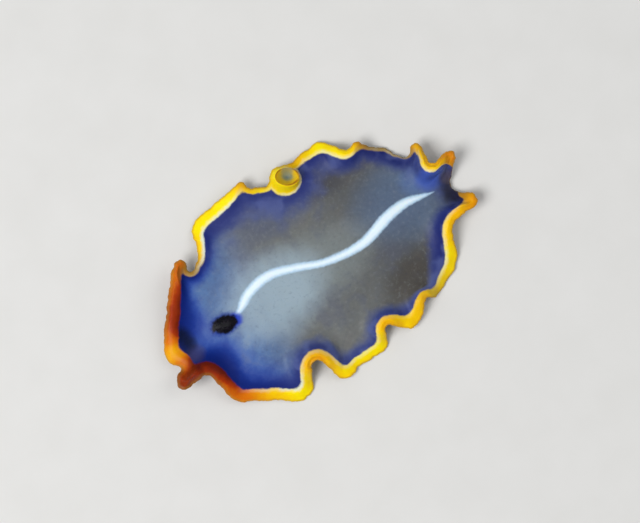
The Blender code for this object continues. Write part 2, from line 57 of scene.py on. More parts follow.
# The margin seen from above, anticlockwise from the front. It runs round these circles as a belt
# does: round the outer side of a lobe, and round the inner side of a fold, whose radius is minus.
# name, x and y of the centre, radius, height of the margin's underside, and then width and warmth
# (0 lemon, 1 dark red) of the coloured band, its dullness, how far its edge rolls over, the strength
# of the white line beside it, and the reach and depth of the blue
MARGIN = (
    ("front_corner", 10.11, -0.06, 0.75, 0.60, 1.00, 0.28, 0.00, 0.20, 0.0, 2.2, 0.95),
    ("slit", 10.35, 0.90, -0.08, 0.60, 0.85, 0.66, 0.20, 0.10, 0.0, 2.0, 1.00),
    ("tentacle_left", 10.52, 1.63, 0.57, 1.50, 1.30, 1.00, 0.05, 0.10, 0.0, 1.0, 0.80),
    ("notch_front", 9.42, 2.40, -0.37, 1.60, 0.84, 0.92, 0.00, 0.10, 0.0, 2.6, 0.80),
    ("lobe_left_1", 7.77, 3.99, 0.90, 0.35, 0.80, 0.58, 0.00, 0.10, 0.1, 2.6, 0.75),
    ("dent_left_1", 7.49, 6.82, -1.50, 0.20, 0.72, 0.26, 0.00, 0.10, 0.4, 2.0, 0.70),
    ("lobe_left_2", 4.81, 5.60, 1.06, 0.00, 0.84, 0.02, 0.00, 0.00, 0.9, 1.5, 0.75),
    ("fold_left_1", 3.09, 5.39, -0.47, 1.70, 0.68, 0.26, 0.05, 0.25, 0.25, 0.8, 0.35),
    ("lobe_left_3", 1.85, 6.29, 0.65, 0.25, 0.78, 0.14, 0.00, 0.00, 0.4, 0.8, 0.20),
    ("dent_left_2", 0.80, 7.85, -1.12, 0.10, 0.56, 0.06, 0.00, 0.00, 0.4, 1.0, 0.25),
    ("lobe_left_4", -0.77, 5.99, 0.75, 0.00, 0.70, 0.04, 0.00, 0.00, 0.4, 1.0, 0.20),
    ("fold_left_2", -1.90, 5.67, -0.26, 1.45, 0.56, 0.28, 0.00, 0.25, 0.1, 0.7, 0.25),
    ("lobe_left_5", -3.36, 5.37, 1.08, 0.40, 0.84, 0.16, 0.00, 0.10, 0.1, 1.0, 0.50),
    ("fold_left_3", -4.88, 5.48, -0.22, 1.20, 0.50, 0.28, 0.15, 0.25, 0.0, 0.15, 0.20),
    ("lobe_left_6", -5.44, 5.35, 0.31, 0.00, 0.46, 0.12, 0.40, 0.00, 0.0, 0.10, 0.20),
    ("lobe_left_7", -6.98, 3.72, 1.03, 0.10, 0.78, 0.06, 0.00, 0.00, 0.6, 1.5, 1.00),
    ("fold_left_4", -9.15, 2.90, -0.72, 1.20, 0.60, 0.20, 0.00, 0.20, 0.3, 1.2, 0.90),
    ("hook_tail", -10.39, 1.59, 0.50, 1.10, 0.84, 0.36, 0.00, 0.15, 0.0, 0.7, 0.80),
    ("notch_tail", -10.47, 0.28, -0.62, 0.10, 0.02, 0.40, 0.80, 0.00, 0.0, 0.9, 0.90),
    ("curl_tail_outer", -10.64, -1.30, 0.49, 1.40, 1.05, 0.42, 0.10, 0.15, 0.0, 1.0, 0.20),
    ("curl_tail", -9.88, -1.85, -0.40, 1.80, 0.62, 0.14, 0.00, 0.30, 0.6, 1.8, 0.10),
    ("curl_tail_inner", -9.26, -2.86, 0.38, 1.20, 0.56, 0.26, 0.15, 0.15, 0.1, 1.6, 0.20),
    ("dip_right", -8.55, -3.03, -0.31, 0.25, 0.04, 0.40, 0.80, 0.00, 0.1, 1.0, 0.80),
    ("lobe_right_5", -6.92, -3.32, 0.93, 0.00, 0.22, 0.35, 0.80, 0.00, 0.3, 1.3, 1.00),
    ("dent_right_3", -6.92, -4.94, -0.25, 0.60, 0.22, 0.38, 0.80, 0.10, 0.0, 1.2, 0.70),
    ("hook_right", -6.29, -4.93, 0.31, 1.20, 0.46, 0.36, 0.05, 0.20, 0.0, 1.2, 0.70),
    ("fold_right_3", -5.72, -5.62, -0.53, 1.20, 0.62, 0.06, 0.00, 0.20, 0.5, 1.3, 0.80),
    ("lobe_right_4", -4.08, -5.70, 0.84, 0.15, 0.66, 0.02, 0.00, 0.00, 0.5, 1.2, 0.80),
    ("dent_right_2", -2.17, -6.40, -0.15, 0.45, 0.46, 0.26, 0.10, 0.10, 0.2, 1.5, 0.60),
    ("ring", -1.32, -5.58, 0.95, 0.70, 0.50, 0.00, 0.00, 0.00, 1.0, 1.5, 0.60),
    ("ring_foot", -0.15, -6.13, -0.24, 0.60, 0.32, 0.10, 0.20, 0.10, 0.0, 1.6, 0.50),
    ("fold_right_2", 0.63, -6.46, -0.26, 0.60, 0.32, 0.12, 0.15, 0.10, 0.0, 1.6, 0.50),
    ("lobe_right_2", 1.22, -6.64, 0.31, 0.90, 0.50, 0.34, 0.10, 0.15, 0.0, 1.8, 0.65),
    ("side_right", 1.70, -6.59, 0.30, 0.75, 0.72, 0.02, 0.00, 0.12, 0.7, 1.9, 0.65),
    ("lobe_right_1", 4.63, -5.66, 0.75, 0.10, 0.80, 0.00, 0.00, 0.00, 0.8, 2.2, 0.60),
    ("dent_right_1", 6.79, -5.40, -1.37, 0.55, 0.50, 0.14, 0.00, 0.10, 0.9, 0.9, 1.00),
    ("fold_right_1", 6.52, -4.02, -0.25, 0.70, 0.24, 0.32, 0.80, 0.10, 0.1, 0.6, 1.00),
    ("tentacle_right", 7.04, -4.52, 0.42, 1.50, 0.80, 0.56, 0.05, 0.20, 0.0, 0.6, 0.90),
    ("front", 8.74, -1.25, 1.25, 0.90, 0.84, 0.86, 0.00, 0.20, 0.0, 2.6, 0.85),
)
FRONT_END = (10.2, -1.2)
TAIL_END = (-9.9, 0.3)

# How the margin is eased along its length, how its rises spread inwards, and its ripples
EDGE_EASE = 0.14
HEIGHT_EASE = 0.30
RISE_REACH = 2.6
RISE_POWER = 2.2
CREST_SPREAD = 0.15
CREST_WIDENING = 0.45
SLOPE_STEP = 0.05
CREASE_REACH = 0.25
FULL_RISE = 0.5
RIPPLE_WAVES = (0.55, 0.75, 1.0, 1.3, 1.7)
RISE_RIPPLE = 0.02
RAISED_RIPPLE = 0.05
RISE_WAVES = 70
RISE_SEED = 3

# How far the margin wavers in and out, in about how many waves round the body, and a random seed
WAVERS = ((0.05, 34, 7), (0.025, 95, 5), (0.012, 230, 6))

# How far the belt may turn back at a circle, in radians
TURN_SLACK = 0.3

# The pale stripe along the middle, from the tip of the dark eye patch to the tail
STRIPE_LINE = (
    (7.6, -0.12), (6.5, 0.03), (5.4, -0.20), (4.3, -0.82), (2.7, -1.08), (1.0, -0.60),
    (-0.7, 0.07), (-3.3, 0.35), (-5.6, -0.26), (-6.9, -0.38), (-8.8, 0.00),
)
# Half the width of the strip that the skin's faces meet along, at shares of the line's length
STRIP_HALF_WIDTHS = (
    (0.0, 0.02), (0.01, 0.26), (0.055, 0.58), (0.085, 0.58), (0.125, 0.40), (0.20, 0.45),
    (0.40, 0.48), (0.60, 0.42), (0.80, 0.48), (0.92, 0.34), (0.99, 0.20), (1.0, 0.02),
)
# Half the width of the stripe itself, from the patch to its point at the tail, and minus where it
# has none
STRIPE_HALF_WIDTHS = (
    (0.0, -0.30), (0.09, -0.30), (0.102, 0.02), (0.12, 0.13), (0.165, 0.30), (0.26, 0.34),
    (0.40, 0.27), (0.50, 0.25), (0.61, 0.28), (0.70, 0.33), (0.78, 0.37), (0.86, 0.33),
    (0.91, 0.26), (0.96, 0.14), (1.0, 0.0),
)
PATCH_CENTRE = (6.60, 0.02)
PATCH_AXIS = (-0.987, 0.160)
PATCH_HALF = (0.83, 0.57)
HALO_CENTRE = (5.85, 0.13)
HALO_REACH = (0.62, 0.52)
SHARE_STEP = 0.004

# The left tentacle is full and round along this line, where the sheet alone would be a channel
TONGUE = ((10.46, 1.60), (9.60, 1.66))
TONGUE_REACH = 0.52
TONGUE_RISE = 0.40

# The ring: the margin stands up there in an oval crest round a hollow, above a wider foot
RING_AXIS = (-0.846, 0.533)
RING_CENTRE = (-1.58, -5.66)
RING_HALF = (0.74, 0.55)
RING_FOOT_CENTRE = (-1.33, -5.56)
RING_FOOT_HALF = (1.03, 0.95)
RING_CREST = 1.45
RING_HOLLOW = 0.66

# The sheet's thickness in the middle, near the margin and at its edge, and how it is rounded
THICK_MIDDLE = 1.12
THICK_MARGIN = 0.48
THICK_EDGE = 0.16
EDGE_TAPER = 0.80
EDGE_ROUND = 0.09
DOME_REACH = 5.0
LEAST_UPRIGHT = 0.5
LEAST_BAND = 0.1
LIP_REACH = 0.30
LIP_GAIN = 0.6
BAND_BULGE = 0.05
STRIPE_RIDGE = 0.05
STRIPE_SLOPE = 0.3
PATCH_RISE = 0.09
PATCH_FOOT = 1.2
PATCH_SLOPE = 0.9
CREST_HEIGHT = 1.5

# How finely the skin is divided: columns round the margin, how many times denser its line is first,
# rows of the grid that is solved and of the mesh, and the grid's levels with the sweeps of each
COLUMNS = 1120
DENSER = 8
GRID_ROWS = 49
FINE_ROWS = 96
GRID_LEVELS = ((8, 1200), (4, 600), (2, 300), (1, 150))
EDGE_CLOSENESS = 0.03
STRIP_ROWS = 14
ROW_POWER = 1.6
POINTS_AT_ONCE = 2000

# How the columns are spread along the stripe: mostly as the margin is beside it, eased
FOLLOWING = 0.75
FOLLOWING_COLUMNS = 121
OUTLINE_EASE = 1.6
COLUMN_SPACING = 0.06

# The camera looks straight down: the photo's right and up, and what its frame takes in
IMAGE_RIGHT = (-0.846, 0.533, 0.0)
IMAGE_UP = (-0.533, -0.846, 0.0)
FRAME_CENTRE = (-0.49, -0.12)
FRAME_WIDTH = 39.9
CAMERA_HEIGHT = 260.0
SENSOR_WIDTH = 36.0

# The margin has no band where the tail's notch is
BARE_CENTRE = (-10.05, -0.10)
BARE_AXIS = (1.0, 0.0)
BARE_HALF = (1.0, 1.15)
BARE_FROM = 0.7

# The noise behind the skin's mottling, coarse, medium and fine: size, detail and distortion.
# The medium one's share is added to the coarse one where colours wander.
CLOUDS = ((2.4, 2.0, 0.3), (0.8, 3.0, 0.3), (0.22, 3.0, 0.0))
MEDIUM_SHARE = 0.6

# Places on the back, from the first painted to the last: what each one is, its colour, centre and
# reach, how strong it is in the middle, and how much its edge wanders
BACK_PLACES = (
    ("brownish left", (68, 60, 50), (-4.9, 4.1), (2.6, 2.1), 0.60, 0.6),
    ("dusky right", (62, 60, 68), (-3.2, -4.7), (2.6, 1.9), 0.65, 0.6),
    ("blue-grey rear", (92, 110, 136), (-6.8, -0.6), (4.2, 3.2), 0.80, 0.6),
    ("bluer before the tail", (88, 116, 166), (-8.3, -1.2), (1.6, 1.2), 0.60, 0.6),
    ("bluish beside the ring", (82, 90, 118), (0.3, -4.2), (3.4, 1.7), 0.60, 0.6),
    ("pale middle", (138, 149, 150), (1.0, 0.1), (6.5, 2.8), 0.45, 0.5),
    # Painted highlight: the paler place behind the patch is the glow of the light, painted into the back
    ("painted light behind the patch", (158, 177, 190), (3.1, 0.1), (4.4, 3.4), 0.80, 0.5),
)

# Places near the head's and the tail's ends, in the same way, which are painted over the blue
END_PLACES = (
    ("plum at the left tentacle", (72, 66, 80), (9.1, 0.60), (0.80, 0.75), 0.50, 1.0),
    # Painted shade: the nearly black place inside the raised front margin is its shade, painted in
    ("painted shade inside the front", (2, 8, 20), (9.15, -0.50), (0.80, 1.10), 0.85, 1.2),
    ("blue tail", (60, 88, 184), (-9.0, -0.80), (1.2, 1.0), 0.65, 1.0),
    # Painted shadow: the dark place at the tail's notch is the shadow there, painted in
    ("painted shadow in the notch", (36, 34, 42), (-9.8, 0.5), (1.1, 1.2), 0.85, 1.0),
    ("paler side of the notch", (86, 78, 86), (-10.0, -0.35), (0.7, 0.5), 0.70, 1.0),
)

# The blue beside the margin: where the head's brighter blue sets in, how uneven the blue's reach is,
# that reach as a multiple of the margin's own number, and the least reach
HEAD_BLUE = (3.5, 7.0)
BLUE_UNEVENNESS = 1.8
BLUE_REACH = 1.3
LEAST_BLUE = 0.15

# The band's hues, by warmth, and the hollow's, from the ring's centre out to its crest
BAND_HUES = (
    (0.0, (255, 230, 0)), (0.25, (242, 184, 0)), (0.5, (216, 114, 0)), (0.75, (164, 50, 0)),
    (1.0, (108, 24, 0)),
)
RING_HUES = (
    (0.0, (88, 108, 120)), (0.36, (140, 142, 104)), (0.60, (206, 176, 52)), (0.86, (228, 190, 24)),
    (1.0, (168, 114, 24)),
)
# The greyish place in the ring's hollow: painted shade
RING_SHADE_CENTRE = (-1.80, -6.0)
RING_SHADE_REACH = (0.50, 0.50)

# The cerebral eyes: their number, how far out in the patch they lie, half the gap between their two
# groups, the least and the greatest radius, and how flat they are
EYE_COUNT = 70
EYE_SEED = 11
EYE_SPREAD = 0.85
EYE_GAP = 0.15
EYE_RADII = (0.025, 0.045)
EYE_FLATNESS = 0.4

# Soft lights: their direction along the photo's right, its up and the vertical, and then in metres
# and watts the distance, size and power
LIGHTS = (
    ("key", (-0.75, -0.35, 1.3), 0.30, 0.16, 0.70),
    ("fill", (1.0, 0.5, 1.2), 0.35, 0.25, 0.25),
)
SURROUND_COLOUR = (0.9, 0.95, 1.0, 1.0)
SURROUND_STRENGTH = 0.35
FLOOR_SIZE = 0.6


def belt_round(circles, step=0.02):
    """Points of the belt round the circles, and the rest of each circle's row at each of them."""
    centres = np.array([row[1:3] for row in circles])
    radii = np.array([row[3] for row in circles])
    onward = np.roll(centres, -1, axis=0) - centres
    spread = np.hypot(onward[:, 0], onward[:, 1])
    lean = np.arcsin((np.roll(radii, -1) - radii) / spread)
    leaving = np.arctan2(onward[:, 1], onward[:, 0]) - lean
    points, traits = [], []
    for i, row in enumerate(circles):
        side = math.copysign(1.0, radii[i])
        turn = side * (leaving[i] - leaving[i - 1])
        turn = side * ((turn + TURN_SLACK) % (2 * math.pi) - TURN_SLACK)
        pieces = max(3, int(abs(turn * radii[i]) / step) + 2)
        for heading in leaving[i - 1] + np.linspace(0, turn, pieces):
            outward = np.array([math.sin(heading), -math.cos(heading)])
            points.append(centres[i] + radii[i] * outward)
            traits.append(row[4:])
    return np.array(points), np.array(traits)


def smooth_loop(values, reach, spacing):
    """Values round a closed line, blurred along it by a Gaussian."""
    waves = np.fft.fftfreq(len(values), spacing)
    keep = np.exp(-2 * (math.pi * reach * waves) ** 2)
    if values.ndim > 1:
        keep = keep[:, None]
    return np.fft.ifft(np.fft.fft(values, axis=0) * keep, axis=0).real


def lengths_along(points):
    return np.concatenate([[0.0], np.cumsum(np.linalg.norm(np.diff(points, axis=0), axis=1))])


def at_length(points, length, wanted):
    return np.column_stack([np.interp(wanted, length, points[:, k]) for k in range(points.shape[1])])


def curve_through(points, per_span=40):
    """A centripetal Catmull-Rom curve through the points."""
    p = np.array(points, float)
    p = np.vstack([2 * p[0] - p[1], p, 2 * p[-1] - p[-2]])
    curve = []
    for a, b, c, d in zip(p[:-3], p[1:-2], p[2:-1], p[3:]):
        steps = [np.linalg.norm(end - start) ** 0.5 for start, end in ((a, b), (b, c), (c, d))]
        t = np.cumsum([0.0] + steps)
        for now in np.linspace(t[1], t[2], per_span, endpoint=False):
            ab = a + (b - a) * (now - t[0]) / (t[1] - t[0])
            bc = b + (c - b) * (now - t[1]) / (t[2] - t[1])
            cd = c + (d - c) * (now - t[2]) / (t[3] - t[2])
            abc = ab + (bc - ab) * (now - t[0]) / (t[2] - t[0])
            bcd = bc + (cd - bc) * (now - t[1]) / (t[3] - t[1])
            curve.append(abc + (bcd - abc) * (now - t[1]) / (t[2] - t[1]))
    curve.append(p[-2])
    return np.array(curve)


def smooth_step(value):
    value = np.clip(value, 0, 1)
    return value * value * (3 - 2 * value)


def oval(points, centre, axis, half):
    """How far out each point is from an oval's centre: 1 on the oval itself."""
    along = (points - centre) @ np.array(axis) / half[0]
    across = (points - centre) @ np.array([-axis[1], axis[0]]) / half[1]
    return np.hypot(along, across)


def beside(points, start, end):
    """Each point's distance from a straight line between two places."""
    run = np.array(end) - start
    share = np.clip((points - start) @ run / (run @ run), 0, 1)
    return np.linalg.norm(points - start - share[:, None] * run, axis=1)


def ring_form(points):
    """How far out points are on the ring's hollow and foot, its height, and how much of it shows."""
    hollow = oval(points, RING_CENTRE, RING_AXIS, RING_HALF)
    foot = oval(points, RING_FOOT_CENTRE, RING_AXIS, RING_FOOT_HALF)
    height = RING_CREST - RING_HOLLOW * (1 - np.minimum(hollow, 1) ** 2)
    beyond = np.maximum(hollow - 1, 0)
    within = np.maximum(1 - foot, 0)
    return hollow, foot, height, smooth_step(within / np.maximum(within + beyond, 1e-6))


def ripples(length, total, waves, seed):
    """A wavering value from -1 to 1 along a closed line, of about so many waves."""
    random = np.random.default_rng(seed)
    value = np.zeros_like(length)
    for share in RIPPLE_WAVES:
        count = round(waves * share)
        value += np.sin(2 * math.pi * (count * length / total + random.random()))
    value *= 2 / len(RIPPLE_WAVES)
    return np.clip(value, -1, 1)


def margin_line():
    """The margin as COLUMNS points, the first at the front and the middle one at the tail.

    It also gives each point's traits, which are the rest of a circle's row.
    """
    points, traits = belt_round(MARGIN)
    closed = np.vstack([points, points[:1]])
    length = lengths_along(closed)
    dense = DENSER * COLUMNS
    even = np.linspace(0, length[-1], dense, endpoint=False)
    line = smooth_loop(at_length(closed, length, even), EDGE_EASE, length[-1] / dense)
    traits = at_length(np.vstack([traits, traits[:1]]), length, even)
    traits = np.maximum(smooth_loop(traits, HEIGHT_EASE, length[-1] / dense), 0)
    front = np.argmin(np.linalg.norm(line - FRONT_END, axis=1))
    line = np.roll(line, -front, axis=0)
    traits = np.roll(traits, -front, axis=0)
    tail = int(np.argmin(np.linalg.norm(line - TAIL_END, axis=1)))
    half = COLUMNS // 2
    picked = np.concatenate(
        [np.linspace(0, tail, half, endpoint=False), np.linspace(tail, dense, half, endpoint=False)]
    )
    around = np.arange(dense + 1)
    margin = at_length(np.vstack([line, line[:1]]), around, picked)
    return margin, at_length(np.vstack([traits, traits[:1]]), around, picked)


class Spine:
    """The stripe's middle line, and the outline of the strip round it."""

    def __init__(self):
        self.line = curve_through(STRIPE_LINE)
        self.length = lengths_along(self.line)
        self.total = self.length[-1]

    def point(self, share):
        return at_length(self.line, self.length, np.asarray(share) * self.total)

    def left(self, share):
        share = np.asarray(share)
        ahead = self.point(np.minimum(share + SHARE_STEP, 1))
        run = ahead - self.point(np.maximum(share - SHARE_STEP, 0))
        run /= np.linalg.norm(run, axis=1)[:, None]
        return np.column_stack([run[:, 1], -run[:, 0]])

    def strip(self, share):
        return np.interp(share, *np.transpose(STRIP_HALF_WIDTHS))

    def stripe(self, share):
        return np.interp(share, *np.transpose(STRIPE_HALF_WIDTHS))

    def outline(self, margin):
        """A point of the outline for each column, across from that column's margin."""
        half = len(margin) // 2
        eased = smooth_loop(margin, OUTLINE_EASE, COLUMN_SPACING)
        nearest = [np.argmin(np.linalg.norm(self.line - point, axis=1)) for point in eased]
        share = self.length[nearest] / self.total
        sides = [share[:half], share[half:][::-1]]
        window = np.hanning(FOLLOWING_COLUMNS)
        window /= window.sum()
        beyond = FOLLOWING_COLUMNS // 2
        for k, side in enumerate(sides):
            side = FOLLOWING * np.maximum.accumulate(side) + (1 - FOLLOWING) * np.linspace(0, 1, half)
            side = np.convolve(np.pad(side, beyond, mode="reflect", reflect_type="odd"), window, "valid")
            sides[k] = (side - side[0]) / (side[-1] - side[0])
        share = (sides[0] + sides[1]) / 2
        share = np.concatenate([share, [1.0], share[:0:-1]])
        turned = np.where(np.arange(2 * half) < half, 1.0, -1.0)
        return self.point(share) + self.left(share) * (self.strip(share) * turned)[:, None]

    def nearest(self, points):
        """Each point's distance from the line, and its share of the line's length."""
        away = np.empty(len(points))
        share = np.empty(len(points))
        for start in range(0, len(points), POINTS_AT_ONCE):
            here = slice(start, start + POINTS_AT_ONCE)
            part = points[here]
            gap = np.linalg.norm(part[:, None] - self.line, axis=-1)
            index = gap.argmin(axis=1)
            away[here] = gap[np.arange(len(part)), index]
            share[here] = self.length[index] / self.total
        return away, share


def relax(grid, pull, sweeps):
    """Moves a grid's inner points by the elliptic equations that keep its lines from crossing.

    Its last two columns repeat the first two, and pull sets how close the rows lie to the first.
    """
    for _ in range(sweeps):
        around = (grid[1:-1, 2:] - grid[1:-1, :-2]) / 2
        across = (grid[2:, 1:-1] - grid[:-2, 1:-1]) / 2
        a = (across**2).sum(axis=-1, keepdims=True)
        b = (around * across).sum(axis=-1, keepdims=True)
        c = (around**2).sum(axis=-1, keepdims=True)
        corners = grid[2:, 2:] - grid[:-2, 2:] - grid[2:, :-2] + grid[:-2, :-2]
        sides = grid[1:-1, 2:] + grid[1:-1, :-2]
        ends = grid[2:, 1:-1] + grid[:-2, 1:-1] - pull * across
        grid[1:-1, 1:-1] = (a * sides + c * ends - b / 2 * corners) / (2 * (a + c))
        grid[:, 0] = grid[:, -2]
        grid[:, -1] = grid[:, 1]


def grid_between(outer, inner):
    """A grid of rows from one closed line in to another, solved coarsely and then more finely.

    The rows are EDGE_CLOSENESS times as far apart at the outer line as they would be if even.
    """
    grid = None
    for coarseness, sweeps in GRID_LEVELS:
        rows = (GRID_ROWS - 1) // coarseness + 1
        share = np.linspace(0, 1, rows)
        start, end = outer[::coarseness], inner[::coarseness]
        if grid is None:
            inward = (EDGE_CLOSENESS * share + (1 - EDGE_CLOSENESS) * share**2)[:, None, None]
            grid = start * (1 - inward) + end * inward
        else:
            between = (grid + np.roll(grid, -1, axis=1)) / 2
            coarse = np.stack([grid, between], axis=2).reshape(len(grid), -1, 2)
            grid = np.empty((rows, coarse.shape[1], 2))
            grid[::2] = coarse
            grid[1::2] = (coarse[:-1] + coarse[1:]) / 2
            grid[0], grid[-1] = start, end
        slope = EDGE_CLOSENESS + 2 * (1 - EDGE_CLOSENESS) * share[1:-1]
        pull = (2 * (1 - EDGE_CLOSENESS) / slope / (rows - 1))[:, None, None]
        wrapped = np.concatenate([grid[:, -1:], grid, grid[:, :1]], axis=1)
        relax(wrapped, pull, sweeps)
        grid = wrapped[:, 1:-1]
    return grid


class Sheet:
    """The body's plan, its heights, and the traits of the margin nearest to each of its points."""

    def __init__(self):
        self.margin, traits = margin_line()
        length = lengths_along(np.vstack([self.margin, self.margin[:1]]))
        total, length = length[-1], length[:-1]
        rise = traits[:, 0]
        swing = RISE_RIPPLE + RAISED_RIPPLE * smooth_step(rise / FULL_RISE)
        self.rise = np.maximum(rise + swing * ripples(length, total, RISE_WAVES, RISE_SEED), 0)
        self.traits = traits[:, 1:]
        wander = sum(reach * ripples(length, total, waves, seed) for reach, waves, seed in WAVERS)
        run = np.roll(self.margin, -1, axis=0) - np.roll(self.margin, 1, axis=0)
        run /= np.linalg.norm(run, axis=1)[:, None]
        self.margin = self.margin + np.column_stack([-run[:, 1], run[:, 0]]) * wander[:, None]
        self.spine = Spine()
        grid = grid_between(self.margin, self.spine.outline(self.margin))
        self.plan = np.empty((FINE_ROWS, COLUMNS, 2))
        for j in range(COLUMNS):
            length = lengths_along(grid[:, j])
            run = np.linspace(0, 1, FINE_ROWS) ** ROW_POWER * length[-1]
            self.plan[:, j] = at_length(grid[:, j], length, run)

    def to_margin(self, part, nearest):
        """The distance to the margin line itself, from the index of its nearest point."""
        start = self.margin[nearest]
        best = np.full(len(part), np.inf)
        for step in (1, -1):
            run = self.margin[(nearest + step) % COLUMNS] - start
            share = np.clip(((part - start) * run).sum(axis=1) / (run**2).sum(axis=1), 0, 1)
            best = np.minimum(best, np.linalg.norm(part - start - run * share[:, None], axis=1))
        return best

    def field(self, points):
        """The distance from the margin, also without creases, the underside's height, and the traits."""
        table = np.column_stack([self.rise, self.traits])
        away = np.empty(len(points))
        eased = np.empty(len(points))
        mean = np.empty((len(points), table.shape[1]))
        for start in range(0, len(points), POINTS_AT_ONCE):
            here = slice(start, start + POINTS_AT_ONCE)
            part = points[here]
            square = (part**2).sum(axis=1)[:, None] - 2 * part @ self.margin.T
            square += (self.margin**2).sum(axis=1)
            nearest = square.argmin(axis=1)
            least = np.maximum(square[np.arange(len(part)), nearest], 0)
            spread = CREST_SPREAD + CREST_WIDENING * np.sqrt(least)
            weight = np.exp((least[:, None] - square) / (2 * spread[:, None] ** 2))
            weight /= weight.sum(axis=1)[:, None]
            away[here] = self.to_margin(part, nearest)
            eased[here] = np.sqrt(np.maximum((weight * square).sum(axis=1) - spread**2, 0))
            mean[here] = weight @ table
        near = smooth_step(away / CREASE_REACH)
        eased = away * (1 - near) + eased * near
        lip = mean[:, 4]
        height = mean[:, 0] * np.clip(1 - eased / RISE_REACH, 0, 1) ** RISE_POWER
        height *= (1 + LIP_GAIN * lip) * (1 - lip * np.clip(1 - away / LIP_REACH, 0, 1) ** 2)
        return away, eased, height, mean[:, 1:].T

    def sides(self, points):
        """The heights of the underside and the upper side above plan points, and the markings there."""
        away, eased, height, (band, warm, dull, _, white, blue, deep) = self.field(points)
        shifts = ((SLOPE_STEP, 0), (0, SLOPE_STEP))
        slopes = [(self.field(points + shift)[2] - height) / SLOPE_STEP for shift in shifts]
        upright = 1 / np.sqrt(1 + slopes[0] ** 2 + slopes[1] ** 2)
        sheet = THICK_EDGE + (THICK_MARGIN - THICK_EDGE) * smooth_step(eased / EDGE_TAPER)
        sheet += (THICK_MIDDLE - THICK_MARGIN) * smooth_step(eased / DOME_REACH)
        sheet /= np.maximum(upright, LEAST_UPRIGHT)
        rounded = sheet * np.sqrt(1 - np.clip(1 - away / EDGE_ROUND, 0, 1) ** 2)
        lower = height + (sheet - rounded) / 2
        upper = lower + rounded
        upper += BAND_BULGE * np.sin(math.pi * np.clip(eased / np.maximum(band, LEAST_BAND), 0, 1))

        off, share = self.spine.nearest(points)
        half = self.spine.stripe(share)
        upper += STRIPE_RIDGE * smooth_step((half - off) / STRIPE_SLOPE)
        patch = oval(points, PATCH_CENTRE, PATCH_AXIS, PATCH_HALF)
        upper += PATCH_RISE * smooth_step((PATCH_FOOT - patch) / PATCH_SLOPE)
        upper += TONGUE_RISE * smooth_step(1 - beside(points, *TONGUE) / TONGUE_REACH)

        hollow, foot, ring, shown = ring_form(points)
        upper += (ring - upper) * shown * smooth_step(away / EDGE_ROUND)
        bare = oval(points, BARE_CENTRE, BARE_AXIS, BARE_HALF)
        band = band * smooth_step((bare - BARE_FROM) / (1 - BARE_FROM))
        marks = {"band": band, "warm": warm, "dull": dull, "white": white, "blue": blue, "deep": deep}
        from_foot = (foot - 1) * np.mean(RING_FOOT_HALF)
        marks["edge"] = np.minimum(eased, np.maximum(from_foot + band, 0.5 * band))
        # Painted shade: the margin's height, which makes the band more orange on high crests
        marks["crest"] = height / CREST_HEIGHT
        marks["stripe"] = half - off
        marks["patch"] = patch
        marks["ring"] = hollow
        return lower, np.maximum(upper, lower), marks


def skin_mesh(sheet):
    """The closed skin: the sheet's two faces, which meet at the margin and along the stripe's strip."""
    half = COLUMNS // 2
    left = sheet.plan[-1, 1:half]
    right = sheet.plan[-1, :half:-1]
    across = np.linspace(0, 1, STRIP_ROWS + 1)[1:-1, None, None]
    strip = left + (right - left) * across
    plan = np.vstack([sheet.plan.reshape(-1, 2), strip.reshape(-1, 2)])
    lower, upper, marks = sheet.sides(plan)
    count = len(plan)
    top = np.column_stack([plan, upper])
    under = np.column_stack([plan, lower])
    faces = []
    for face, first in enumerate((0, count)):
        index = first + np.arange(FINE_ROWS * COLUMNS).reshape(FINE_ROWS, COLUMNS)
        if face:
            index[0] = np.arange(COLUMNS)
        onward = np.roll(index, -1, axis=1)
        cells = [np.stack([index[:-1], onward[:-1], onward[1:], index[1:]], axis=-1).reshape(-1, 4)]
        middle = np.empty((STRIP_ROWS + 1, half + 1), int)
        middle[0] = index[-1, : half + 1]
        middle[-1, 0] = index[-1, 0]
        middle[-1, 1:] = index[-1, : half - 1 : -1]
        inner = first + FINE_ROWS * COLUMNS + np.arange((STRIP_ROWS - 1) * (half - 1))
        middle[1:-1, 1:-1] = inner.reshape(STRIP_ROWS - 1, half - 1)
        middle[1:-1, 0] = index[-1, 0]
        middle[1:-1, -1] = index[-1, half]
        corners = [middle[:-1, :-1], middle[:-1, 1:], middle[1:, 1:], middle[1:, :-1]]
        cells.append(np.stack(corners, axis=-1).reshape(-1, 4))
        cells = np.vstack(cells)
        faces += (cells if face else cells[:, ::-1]).tolist()
    faces = [list(dict.fromkeys(face)) for face in faces]
    points = np.vstack([top, under])
    marks = {name: np.tile(value, 2) for name, value in marks.items()}
    marks["belly"] = np.repeat([0.0, 1.0], count)
    used = np.ones(2 * count, bool)
    used[count : count + COLUMNS] = False
    renumber = np.cumsum(used) - 1
    faces = [[int(renumber[k]) for k in face] for face in faces if len(face) > 2]
    mesh = bpy.data.meshes.new("skin")
    mesh.from_pydata((points[used] * MM).tolist(), [], faces)
    for name, value in marks.items():
        layer = mesh.attributes.new(name, "FLOAT", "POINT")
        layer.data.foreach_set("value", value[used].astype(np.float32))
    mesh.shade_smooth()
    mesh.update()
    return mesh


def rgb(red, green, blue):
    """A linear colour from the 0 to 255 values that a screen shows."""
    values = [value / 255 for value in (red, green, blue)]
    return tuple(v / 12.92 if v <= 0.04045 else ((v + 0.055) / 1.055) ** 2.4 for v in values) + (1.0,)


